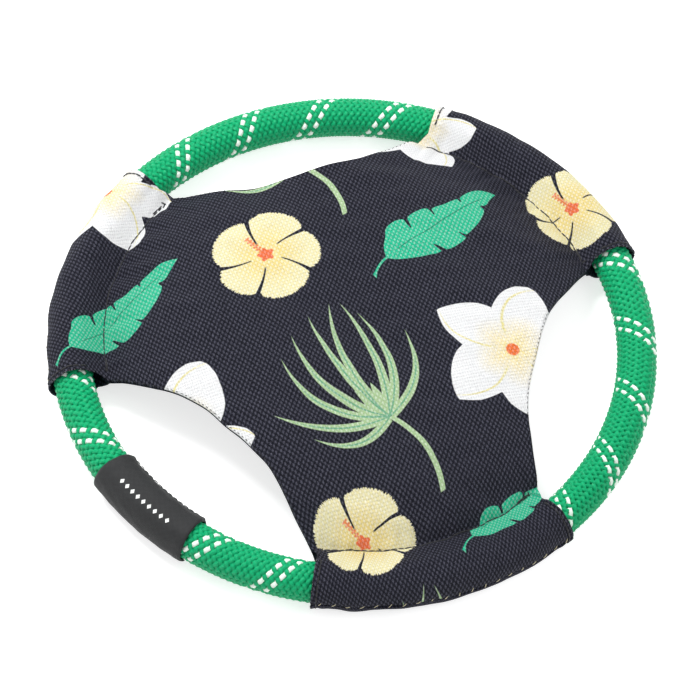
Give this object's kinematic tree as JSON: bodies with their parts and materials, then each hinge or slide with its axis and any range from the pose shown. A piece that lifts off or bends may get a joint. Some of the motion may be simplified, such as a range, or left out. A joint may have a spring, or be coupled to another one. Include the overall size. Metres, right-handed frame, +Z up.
{
  "type": "flying ring",
  "caption": "Soft flying ring: a braided rope hoop held in the arms of a domed, printed cloth panel with open windows, and a plain sleeve over the rope's joint.",
  "frame": {"origin": "centre of the ring, on the surface it rests on", "axes": "+Z up, out of the printed side; -Y towards the middle of the front arm, so the windows are centred on +Y and 120 degrees to either side"},
  "size_m": [0.243, 0.2418, 0.0326],
  "materials": {
    "rope_cover": "braided polyester, bright green with white tracer strands",
    "rope_core": "white fibre filling",
    "tape": "wound tape",
    "label": "matte black coated fabric",
    "printed_cloth": "coarse plain weave, near-black navy, printed with flowers and leaves",
    "backing_cloth": "coarse plain weave, near-black navy",
    "dark_thread": "twisted polyester thread, black",
    "pale_thread": "twisted polyester thread, cream"
  },
  "bodies": {
    "panel": {"top_panel": "printed_cloth", "bottom_panel": "backing_cloth", "casing_seam_front": "dark_thread", "casing_seam_right": "dark_thread", "casing_seam_left": "dark_thread", "window_seam_back": "dark_thread", "window_seam_right": "dark_thread", "window_seam_left": "dark_thread", "closing_seam_front": "pale_thread", "closing_seam_right": "pale_thread", "closing_seam_left": "pale_thread", "mouth_seam_front_left": "dark_thread", "mouth_seam_front_right": "dark_thread", "mouth_seam_right_front": "dark_thread", "mouth_seam_right_back": "dark_thread", "mouth_seam_left_front": "dark_thread", "mouth_seam_left_back": "dark_thread"},
    "rope_ring": {"rope_core": "rope_core", "rope_cover": "rope_cover", "joint_wrap": "tape", "label_sleeve": "label", "label_seam": "dark_thread"}
  },
  "joints": [
    {"name": "rope_slip", "type": "hinge", "parent": "panel", "child": "rope_ring", "pos_m": [0, 0, 0.009], "axis": [0, 0, 1], "range_deg": [-19.9, 22.9]}
  ]
}
